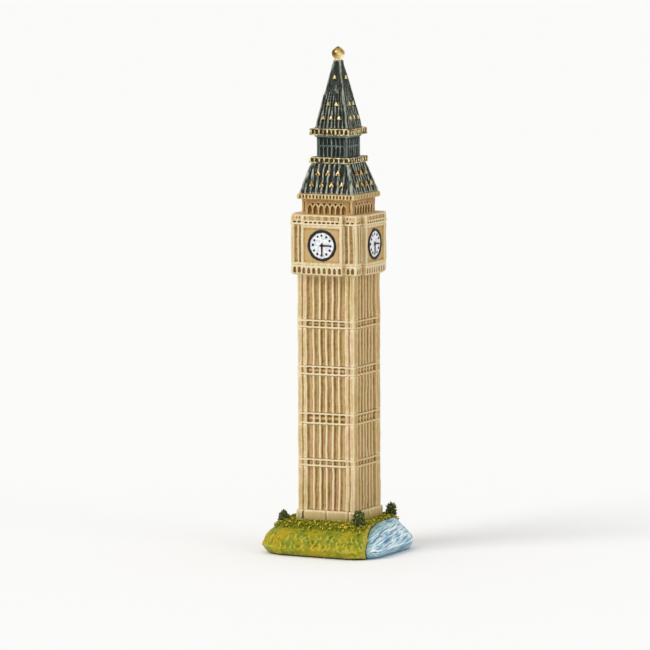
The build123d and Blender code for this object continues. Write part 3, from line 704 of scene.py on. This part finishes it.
# On the finial the patches are as wide as a brush: a painted highlight and painted dark patches on the ball.
gilt_ball = gold_paint(
    "gold_paint_ball", BALL_GLINT_PATCH, 0.2, "4A3212", "6E4E1C", "CCA85A", "FFF3C8", -0.9, -0.1
)
# Its hollow colour is the green beneath, darkened to near black: painted shade in the gallery's openings.
gilt_gallery = gold_paint(
    "gold_paint_over_green", FLECK_AND_GLINT, 0.35, "181A12", "5C5034", "A99868", "E8DCB2", -0.1, 0.45
)
turf = painted_turf()
grass_paint = painted_grass()
water = painted_water()
foliage = painted_foliage("painted_foliage", "0E1206", "2C3810", "656B1A", "BDB94C")
pale_foliage = painted_foliage("pale_foliage", "3E4A14", "8C9138", "BFBD62", "E2DC98")
white_enamel = dial_paint("white_enamel", "F4F5F7", "C6CAD0", 0.4)
black_enamel = dial_paint("black_enamel", "241C18", "120E0C", 0.45)
petals = petal_paint()


# The tower's castings


def score(piece, depth):
    """Runs shallow grooves up a piece, as a modelling knife leaves them in the master."""
    piece.data.transform(Matrix.Diagonal((1, 1, 1 / SCORE_STRETCH, 1)))
    displace(piece, sideways_scores, depth, "X")
    displace(piece, forward_scores, depth, "Y")
    piece.data.transform(Matrix.Diagonal((1, 1, SCORE_STRETCH, 1)))


def cast(node, grid, material, upright=True, wobble=1.0, scoring=STONE_SCORING):
    """A CAD block as it comes from a soft mould: corners rounded, lines unsteady, faces scored."""
    piece = cad_copy(node, f"cast_{node}")
    lengthen(piece, SEAT_OVERLAP)
    modify(piece, "REMESH", mode="VOXEL", voxel_size=grid)
    modify(piece, "SMOOTH", factor=0.5, iterations=1)
    displace(piece, sideways_waves, WOBBLE_DEPTH * wobble, "X")
    displace(piece, forward_waves, WOBBLE_DEPTH * wobble, "Y")
    score(piece, scoring)
    displace(piece, pits, PITTING_DEPTH)
    add_relief(piece, "fine", steps=6, span=0.1 * MM, upright=upright)
    add_relief(piece, "broad", steps=36, span=0.35 * MM, upright=upright)
    return finish_piece(piece, material, node)


def swell(piece, amount):
    """Rounds out a tapering piece between its widest point and its tip, and less close to its axis."""
    near_axis = 0.3 * MM
    places = points(piece)
    reach = np.hypot(places[:, 0], places[:, 1])
    widest = places[reach.argmax(), 2]
    share = np.clip((places[:, 2] - widest) / (places[:, 2].max() - widest), 0, 1)
    outward = places[:, :2] / np.maximum(reach, 0.01 * MM)[:, None]
    room = np.minimum(reach / near_axis, 1)
    places[:, :2] += outward * (amount * np.sin(np.pi * share) * room)[:, None]
    move_points(piece, places)


sideways_waves = pattern("CLOUDS", WOBBLE_LENGTH, noise_depth=1)
forward_waves = pattern("CLOUDS", WOBBLE_LENGTH * 1.15, noise_depth=1, noise_basis="ORIGINAL_PERLIN")
pits = pattern("CLOUDS", PITTING_LENGTH, noise_depth=2)
sideways_scores = pattern("CLOUDS", SCORE_LENGTH, noise_depth=1)
forward_scores = pattern("CLOUDS", SCORE_LENGTH * 1.1, noise_depth=1)

cast("plinth", CAST_GRID, soaked_stone)
plain_stone = [f"shaft_tier_{number}" for number in range(1, 6)]
plain_stone += [f"string_course_{number}" for number in range(1, 5)]
for node in plain_stone:
    cast(node, CAST_GRID, stone)
for node in ("corbel_course", "clock_body", "clock_parapet"):
    cast(node, TRACERY_GRID, soaked_stone)
for side in QUARTER_TURNS:
    cast(f"dial_bay_{side}", TRACERY_GRID, dial_stone)
for node in ("belfry", "eaves_cornice"):
    cast(node, FINE_GRID, brown_stone)
cast("lower_roof", TRACERY_GRID, roof_green, upright=False, scoring=ROOF_SCORING)
cast("spire", TRACERY_GRID, spire_green, upright=False, scoring=SPIRE_SCORING)
cast("lantern", TRACERY_GRID, lantern_green, upright=False, scoring=LANTERN_SCORING)
for node in ("lower_gallery", "upper_gallery"):
    cast(node, FINE_GRID, gilt_gallery)
cast("lower_roof_gablets", FINE_GRID, gilt_worn, upright=False, wobble=0.6)
cast("spire_gablets", FINE_GRID, gilt, upright=False, wobble=0.6)
swell(cast("finial", FINE_GRID, gilt_ball, upright=False, wobble=0.6), FINIAL_SWELL)


def face_turn(side):
    """The turn about the tower's axis that takes the front face to another."""
    return Matrix.Rotation(QUARTER_TURNS[side] * math.pi / 2, 4, "Z")


def gallery_beads(node, openings):
    """Drops of bright gold along a gallery, one over each post and larger at the corners."""
    low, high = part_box(node)
    middle = (low.z + high.z) / 2
    reach = high.x - GALLERY_POST * MM / 2
    bpy.ops.mesh.primitive_ico_sphere_add(subdivisions=2, radius=1)
    places = []
    for side in QUARTER_TURNS:
        for step in range(openings):
            across = -reach + 2 * reach * step / openings
            corner = step == 0
            height = CORNER_BEAD["height"] if corner else hand.uniform(*POST_BEAD["height"])
            width = CORNER_BEAD["width"] if corner else hand.uniform(*POST_BEAD["width"])
            inset = (CORNER_BEAD if corner else POST_BEAD)["inset"] * MM
            shift = hand.uniform(-BEAD_SHIFT, BEAD_SHIFT) * MM
            spot = Vector((across, low.y + inset, middle + shift))
            size = Matrix.Diagonal((width * MM, BEAD_DEPTH * MM, height * (high.z - low.z), 1))
            lean = Matrix.Rotation(hand.uniform(-BEAD_LEAN, BEAD_LEAN), 4, "Y")
            places.append(face_turn(side) @ Matrix.Translation(spot) @ lean @ size)
    beads = copies(bpy.context.object, places, f"{node}_beads")
    displace(beads, pits, 0.06 * MM)
    return finish_piece(beads, gilt)


gallery_beads("lower_gallery", openings=8)
gallery_beads("upper_gallery", openings=9)


# Dials


dial_low, dial_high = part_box("dial_front")
DIAL_CENTRE = Vector((0, dial_low.y, (dial_low.z + dial_high.z) / 2))
DIAL_RADIUS = (dial_high.z - dial_low.z) / 2
DIAL_AXIS = (math.pi / 2, 0, 0)
DIAL_DEPTH = 0.36 * MM


def dial_disc():
    """A disc with a bevelled rim and a slightly raised middle, as a puddle of enamel dries."""
    bpy.ops.mesh.primitive_cylinder_add(
        vertices=96,
        radius=DIAL_RADIUS * 0.97,
        depth=DIAL_DEPTH,
        location=DIAL_CENTRE + Vector((0, DIAL_DEPTH / 2, 0)),
        rotation=DIAL_AXIS,
    )
    disc = settle(bpy.context.object)
    bpy.ops.object.mode_set(mode="EDIT")
    bpy.ops.mesh.select_all(action="DESELECT")
    bpy.ops.object.mode_set(mode="OBJECT")
    for face in disc.data.polygons:
        face.select = face.normal.y < -0.9
    bpy.ops.object.mode_set(mode="EDIT")
    bpy.ops.mesh.select_mode(type="FACE")
    for width, rise in DIAL_SWELL:
        bpy.ops.mesh.inset(thickness=width * MM)
        bpy.ops.transform.translate(value=(0, rise * -MM, 0))
    bpy.ops.object.mode_set(mode="OBJECT")
    modify(disc, "BEVEL", width=0.06 * MM, segments=3, limit_method="ANGLE")
    return disc


def dial_ring():
    """A brushed black ring, thicker in some places than in others."""
    bpy.ops.mesh.primitive_torus_add(
        major_segments=128,
        minor_segments=16,
        major_radius=DIAL_RADIUS - 0.19 * MM,
        minor_radius=0.29 * MM,
        location=DIAL_CENTRE,
        rotation=DIAL_AXIS,
    )
    ring = bpy.context.object
    ring.scale = (1, 1, 0.8)
    settle(ring)
    displace(ring, pattern("CLOUDS", 1.1 * MM, noise_depth=1), 0.2 * MM)
    return ring


def hour_marks():
    """Twelve dots of paint, no two quite alike."""
    bpy.ops.mesh.primitive_uv_sphere_add(segments=16, ring_count=10, radius=0.23 * MM)
    dot = bpy.context.object
    places = []
    for hour in range(12):
        angle = math.radians(30 * hour + hand.uniform(-3, 3))
        reach = (MARK_REACH + hand.uniform(-0.06, 0.06)) * MM
        spot = DIAL_CENTRE + Vector((reach * math.sin(angle), -0.04 * MM, reach * math.cos(angle)))
        size = hand.uniform(0.8, 1.15)
        places.append(Matrix.Translation(spot) @ Matrix.Diagonal((size, 0.5, size * 1.05, 1)))
    return copies(dot, places, "hour_marks")


def clock_hand(length, turn, name):
    """A tapering hand with a short cross-piece at its hub, all in one stroke of paint."""
    bpy.ops.mesh.primitive_cube_add(size=1)
    stroke = bpy.context.object
    stroke.scale = (0.36 * MM, STROKE_DEPTH, 0.9 * MM)
    settle(stroke)
    bpy.ops.object.mode_set(mode="EDIT")
    bpy.ops.mesh.select_all(action="DESELECT")
    bpy.ops.object.mode_set(mode="OBJECT")
    for face in stroke.data.polygons:
        face.select = face.normal.z > 0.9
    bpy.ops.object.mode_set(mode="EDIT")
    bpy.ops.mesh.select_mode(type="FACE")
    tip = length - 0.45 * MM
    for share, width in ((0.55, 0.85), (0.35, 0.7), (0.1, 0.4)):
        bpy.ops.mesh.extrude_region_move(TRANSFORM_OT_translate={"value": (0, 0, tip * share)})
        bpy.ops.transform.resize(value=(width, 1, width))
    bpy.ops.object.mode_set(mode="OBJECT")
    bpy.ops.mesh.primitive_cube_add(size=1)
    cross = bpy.context.object
    cross.scale = (0.95 * MM, STROKE_DEPTH, 0.28 * MM)
    settle(cross)
    bpy.ops.mesh.primitive_cylinder_add(vertices=24, radius=0.24 * MM, depth=0.16 * MM, rotation=DIAL_AXIS)
    hub = settle(bpy.context.object)
    join(stroke, [cross, hub])
    modify(stroke, "REMESH", mode="VOXEL", voxel_size=HAND_GRID)
    modify(stroke, "SMOOTH", factor=0.5, iterations=4)
    stroke.name = name
    stroke.data.transform(
        Matrix.Translation(DIAL_CENTRE + Vector((0, -0.09 * MM, 0))) @ Matrix.Rotation(turn, 4, "Y")
    )
    return stroke


dial_models = {
    "dial": (dial_disc(), "dial_white", white_enamel),
    "dial_ring": (dial_ring(), "dial_black", black_enamel),
    "hour_marks": (hour_marks(), "dial_black", black_enamel),
    "hour_hand": (clock_hand(1.75 * MM, math.pi / 2, "hour_hand"), "dial_black", black_enamel),
    "minute_hand": (clock_hand(2.0 * MM, math.pi, "minute_hand"), "dial_black", black_enamel),
}
for kind, (model, slot_name, paint) in dial_models.items():
    for side in QUARTER_TURNS:
        painted = bpy.data.objects.new(f"painted_{kind}_{side}", model.data.copy())
        painted.data.transform(face_turn(side))
        bpy.context.scene.collection.objects.link(painted)
        finish_piece(painted, paint, f"{kind}_{side}")
        select_only(painted)
        bpy.ops.object.shade_smooth_by_angle(angle=math.radians(40))
    bpy.data.objects.remove(model)


# Mound, river and shrubs


def surface_of(piece):
    """A tree for finding points on a piece's surface."""
    return BVHTree.FromObject(piece, bpy.context.evaluated_depsgraph_get())


def drop_onto(surface, x, y):
    """The point on a surface straight below this place, and its normal there."""
    spot, normal, _, _ = surface.ray_cast(Vector((x, y, WELL_ABOVE)), Vector((0, 0, -1)))
    return spot, normal


def turned_to(normal, spin):
    """A turn that stands +Z along a normal, after a spin about it."""
    return normal.to_track_quat("Z", "Y").to_matrix().to_4x4() @ Matrix.Rotation(spin, 4, "Z")


def curl_places(surface):
    """Places for curls of turf on the mound's side: loops on edge, each with one half sunk."""
    places = []
    for row, height in enumerate(CURL_ROWS):
        count = int(math.tau * MOUND_RADIUS / CURL_PITCH)
        for step in range(count):
            angle = math.tau * (step + 0.5 * (row % 2) + hand.uniform(-0.25, 0.25)) / count
            start = Vector((WELL_OUTSIDE * math.cos(angle), WELL_OUTSIDE * math.sin(angle), height))
            start.z += hand.uniform(-0.25, 0.25) * MM
            spot, normal, _, _ = surface.ray_cast(start, Vector((-start.x, -start.y, 0)))
            if spot is None:
                continue
            facing = 1 if hand.random() < 0.65 else -1
            tilt = Matrix.Rotation(facing * math.radians(hand.uniform(18, 32)), 4, "Y")
            size = hand.uniform(0.75, 1.2)
            place = Matrix.Translation(spot - normal * 0.05 * MM)
            place = place @ turned_to(normal, hand.uniform(-0.5, 0.5))
            places.append(place @ tilt @ Matrix.Diagonal((size * 0.85, size * 1.15, 1, 1)))
    return places


def tuft_places(surface, count, inner, outer, low):
    """Places for the curled leaves of short grass on top of the mound, round the plinth."""
    places = []
    while len(places) < count:
        x, y = hand.uniform(-outer, outer), hand.uniform(-outer, outer)
        if max(abs(x), abs(y)) < inner:
            continue
        spot, normal = drop_onto(surface, x, y)
        if spot is None or spot.z < low:
            continue
        lean = Matrix.Rotation(math.radians(hand.uniform(25, 65)), 4, "X")
        size = hand.uniform(0.7, 1.25)
        place = Matrix.Translation(spot + normal * 0.05 * MM)
        place = place @ turned_to(normal, hand.uniform(0, math.tau))
        places.append(place @ lean @ Matrix.Diagonal((size, size * hand.uniform(0.7, 1.1), size, 1)))
    return places


def make_curl(radius, thickness):
    """A loop of turf, light enough to be repeated hundreds of times."""
    bpy.ops.mesh.primitive_torus_add(
        major_segments=10, minor_segments=4, major_radius=radius, minor_radius=thickness
    )
    return bpy.context.object


def press_groove(piece, height, width, depth):
    """Presses a shallow groove round a piece at this height, where the turf's lip casts a dark line."""
    places = points(piece)
    normals = points(piece, "normal")
    share = np.exp(-(((places[:, 2] - height) / width) ** 2)) * (normals[:, 2] > -0.2)
    places -= normals * (share * depth)[:, None]
    move_points(piece, places)


def keep_above_ground(piece):
    """Flattens whatever has sunk below the table."""
    places = points(piece)
    places[:, 2] = np.maximum(places[:, 2], 0.02 * MM)
    move_points(piece, places)


def add_distance(piece, name, surface, reach):
    """Stores how far each point is from a surface, from 0 on it to 1 at this reach and beyond."""
    away = []
    for vertex in piece.data.vertices:
        distance = surface.find_nearest(vertex.co, reach)[3]
        away.append(1.0 if distance is None else distance / reach)
    piece.data.attributes.new(name, "FLOAT", "POINT").data.foreach_set("value", away)


def make_turf(river):
    """The mound, with curls of turf sculpted on its sides. The short grass on its top is a piece of its own.
    """
    mound = cad_copy("mound", "sculpted_mound")
    modify(mound, "REMESH", mode="VOXEL", voxel_size=1.5 * TURF_GRID)
    modify(mound, "SMOOTH", factor=0.5, iterations=8)
    surface = surface_of(mound)
    press_groove(mound, GRASS_LINE - 0.3 * MM, width=0.16 * MM, depth=0.1 * MM)
    curls = copies(make_curl(radius=0.5 * MM, thickness=0.11 * MM), curl_places(surface), "curls")
    join(mound, [curls])
    modify(mound, "REMESH", mode="VOXEL", voxel_size=TURF_GRID)
    modify(mound, "SMOOTH", factor=0.5, iterations=1)
    displace(mound, pattern("CLOUDS", 2.6 * MM, noise_depth=1), 0.25 * MM)
    displace(mound, pattern("CLOUDS", 0.6 * MM, noise_depth=2), 0.16 * MM)
    keep_above_ground(mound)
    add_relief(mound, "fine", steps=8, span=0.13 * MM)
    add_relief(mound, "broad", steps=40, span=0.45 * MM)
    add_distance(mound, "bank", river, BANK_REACH)
    return finish_piece(mound, turf, "mound")


def make_short_grass(ground):
    """Curled leaves of grass on top of the mound, each a small loop on edge with its foot sunk."""
    surface = surface_of(ground)
    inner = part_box("plinth")[1].x - 0.05 * MM
    places = tuft_places(surface, TUFTS, inner, outer=12.5 * MM, low=GRASS_LINE - 0.1 * MM)
    grass = copies(make_curl(radius=0.3 * MM, thickness=0.09 * MM), places, "short_grass")
    displace(grass, pattern("CLOUDS", 0.5 * MM, noise_depth=1), 0.08 * MM)
    add_distance(grass, "tip", surface, 0.4 * MM)
    return finish_piece(grass, grass_paint)


def make_water(ground):
    """The river, rippled along its stream."""
    river = cad_copy("river", "rippled_river")
    modify(river, "REMESH", mode="VOXEL", voxel_size=WATER_GRID)
    modify(river, "SMOOTH", factor=0.5, iterations=10)
    level_stream = Matrix.Rotation(-STREAM_RISE, 4, "X")
    drawn_in = Matrix.Diagonal((1, 1 / STREAM_STRETCH, 1, 1)) @ level_stream
    river.data.transform(drawn_in)
    displace(river, pattern("CLOUDS", 0.4 * MM, noise_depth=1), 0.2 * MM, "Z")
    displace(river, pattern("CLOUDS", 0.6 * MM, noise_depth=1), 0.12 * MM, "X")
    river.data.transform(drawn_in.inverted())
    keep_above_ground(river)
    add_relief(river, "fine", steps=6, span=0.07 * MM)
    add_distance(river, "bank", surface_of(ground), BANK_REACH)
    return finish_piece(river, water, "river")


def make_leaf(length, width, thickness):
    """A small fat leaf along +Y, drawn in to a point."""
    bpy.ops.mesh.primitive_ico_sphere_add(subdivisions=2, radius=1)
    leaf = bpy.context.object
    leaf.scale = (width / 2, length / 2, thickness / 2)
    settle(leaf)
    for vertex in leaf.data.vertices:
        vertex.select = vertex.co.y > 0.25 * length
    bpy.ops.object.mode_set(mode="EDIT")
    bpy.ops.mesh.select_mode(type="VERT")
    bpy.ops.transform.resize(value=(0.45, 1.0, 0.6))
    bpy.ops.object.mode_set(mode="OBJECT")
    return leaf


def make_shrub(node, leaves):
    """A ragged clump of leaves over a dark core, in the space of its CAD solid."""
    low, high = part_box(node)
    middle = (low + high) / 2
    half = (high - low) / 2
    core = cad_copy(node, f"leafy_{node}")
    surface = surface_of(core)
    shrink = Matrix.Diagonal(SHRUB_CORE)
    core.data.transform(Matrix.Translation(middle) @ shrink @ Matrix.Translation(-middle))
    places = []
    for step in range(leaves):
        height = 1 - 1.75 * (step + 0.5) / leaves
        around = step * GOLDEN_ANGLE + hand.uniform(-0.4, 0.4)
        ring = math.sqrt(1 - height * height)
        outward = Vector((ring * math.cos(around), ring * math.sin(around), height))
        start = middle + Vector((outward.x * half.x, outward.y * half.y, outward.z * half.z)) * 3
        spot, normal, _, _ = surface.ray_cast(start, middle - start)
        if spot is None:
            continue
        lean = Matrix.Rotation(math.radians(hand.uniform(-10, 75)), 4, "X")
        place = Matrix.Translation(spot - normal * hand.uniform(0.1, 0.5) * MM)
        place = place @ turned_to(normal, hand.uniform(-1.2, 1.2))
        places.append(place @ lean @ Matrix.Scale(hand.uniform(0.7, 1.35), 4))
    leaf = make_leaf(0.95 * MM, 0.6 * MM, 0.26 * MM)
    join(core, [copies(leaf, places, "leaves")])
    modify(core, "REMESH", mode="VOXEL", voxel_size=LEAF_GRID)
    modify(core, "SMOOTH", factor=0.4, iterations=1)
    displace(core, pits, 0.1 * MM)
    add_relief(core, "fine", steps=10, span=0.14 * MM)
    return finish_piece(core, foliage, node)


def make_flowers(ground):
    """Three dabs of paint in the grass beside the front shrub."""
    surface = surface_of(ground)
    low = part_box("shrub_front_right")[0]
    bpy.ops.mesh.primitive_ico_sphere_add(subdivisions=3, radius=0.3 * MM)
    dab = bpy.context.object
    places = []
    for x, y, size in FLOWER_SPOTS:
        spot, normal = drop_onto(surface, low.x + x * MM, low.y + y * MM)
        flat = Matrix.Diagonal((size, size, size * 0.7, 1))
        places.append(Matrix.Translation(spot + normal * 0.1 * MM) @ turned_to(normal, 0) @ flat)
    flowers = copies(dab, places, "flower_dabs")
    displace(flowers, pits, 0.12 * MM)
    return finish_piece(flowers, petals)


def make_sprigs(ground):
    """Two lines of small leaves: pale ones beside the front shrub, and dark ones up the plinth."""
    surface = surface_of(ground)
    plinth_low, plinth_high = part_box("plinth")
    places = []
    for step in range(SPRIGS):
        across, along = (start + stride * step for start, stride in zip(SPRIG_START, SPRIG_STEP))
        spot, normal = drop_onto(surface, plinth_high.x + across * MM, along * MM)
        turn = turned_to(normal, math.radians(40) * (1 if step % 2 else -1))
        rise = Matrix.Rotation(math.radians(hand.uniform(15, 40)), 4, "X")
        places.append(Matrix.Translation(spot + normal * 0.15 * MM) @ turn @ rise)
    sprigs = copies(make_leaf(0.7 * MM, 0.32 * MM, 0.24 * MM), places, "pale_sprigs")
    modify(sprigs, "SUBSURF", levels=1, render_levels=1)
    add_relief(sprigs, "fine", steps=6, span=0.14 * MM)
    finish_piece(sprigs, pale_foliage)
    places = []
    for x, z, size in CREEPER_SPOTS:
        spot = Vector((plinth_low.x + x * MM, plinth_low.y - 0.08 * MM, plinth_low.z + z * MM))
        turn = turned_to(Vector((hand.uniform(-0.3, 0.3), -1, 0.2)), hand.uniform(-0.8, 0.8))
        places.append(Matrix.Translation(spot) @ turn @ Matrix.Scale(size, 4))
    creeper = copies(make_leaf(0.75 * MM, 0.45 * MM, 0.3 * MM), places, "plinth_creeper")
    modify(creeper, "SUBSURF", levels=1, render_levels=1)
    add_relief(creeper, "fine", steps=6, span=0.14 * MM)
    finish_piece(creeper, foliage)


river_surface = surface_of(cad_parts["river"])
sculpted_mound = make_turf(river_surface)
make_short_grass(sculpted_mound)
make_water(sculpted_mound)
for node in ("shrub_front_right", "shrub_front_left", "shrub_back_right", "shrub_back_left"):
    make_shrub(node, SHRUB_LEAVES)
make_flowers(sculpted_mound)
make_sprigs(sculpted_mound)


# Studio


def make_studio():
    """A pale floor, a white surround, a soft key light from the left and a weaker fill."""
    bpy.ops.mesh.primitive_plane_add(size=24.0)
    floor = bpy.context.object
    floor.name = "floor"
    material, _, shader = new_material("paper_floor", 0.9)
    shader.inputs["Base Color"].default_value = linear("FCFCFB")
    floor.data.materials.append(material)
    world = bpy.data.worlds.new("surround")
    world.use_nodes = True
    background = world.node_tree.nodes["Background"]
    background.inputs["Color"].default_value = (1.0, 1.0, 1.0, 1.0)
    background.inputs["Strength"].default_value = SURROUND_POWER
    bpy.context.scene.world = world
    for name, (place, power) in LAMPS.items():
        light = bpy.data.lights.new(name, "SUN")
        light.angle = LAMP_SPREAD
        light.energy = power
        lamp = bpy.data.objects.new(name, light)
        lamp.location = place
        lamp.rotation_euler = Vector(place).to_track_quat("Z", "Y").to_euler()
        bpy.context.scene.collection.objects.link(lamp)


def make_camera():
    """A camera a little above the tower's middle, turned from its front towards the river."""
    level_share = math.cos(CAMERA_RISE)
    across, forward = math.sin(CAMERA_TURN), math.cos(CAMERA_TURN)
    away = Vector((across * level_share, -forward * level_share, math.sin(CAMERA_RISE)))
    right = Vector((forward, across, 0))
    camera = bpy.data.objects.new("camera", bpy.data.cameras.new("camera"))
    camera.location = Vector((0, 0, CAMERA_MIDDLE)) + away * CAMERA_DISTANCE
    target = Vector((0, 0, AIM_HEIGHT)) - right * AIM_LEFT
    aim = (target - camera.location).to_track_quat("-Z", "Y").to_matrix()
    roll = Matrix.Rotation(-CAMERA_ROLL, 3, "Z")
    camera.rotation_euler = (aim @ roll).to_euler()
    camera.data.sensor_width = SENSOR
    camera.data.lens = LENS
    bpy.context.scene.collection.objects.link(camera)
    bpy.context.scene.camera = camera


make_studio()
make_camera()
bpy.context.scene.view_settings.view_transform = "Standard"
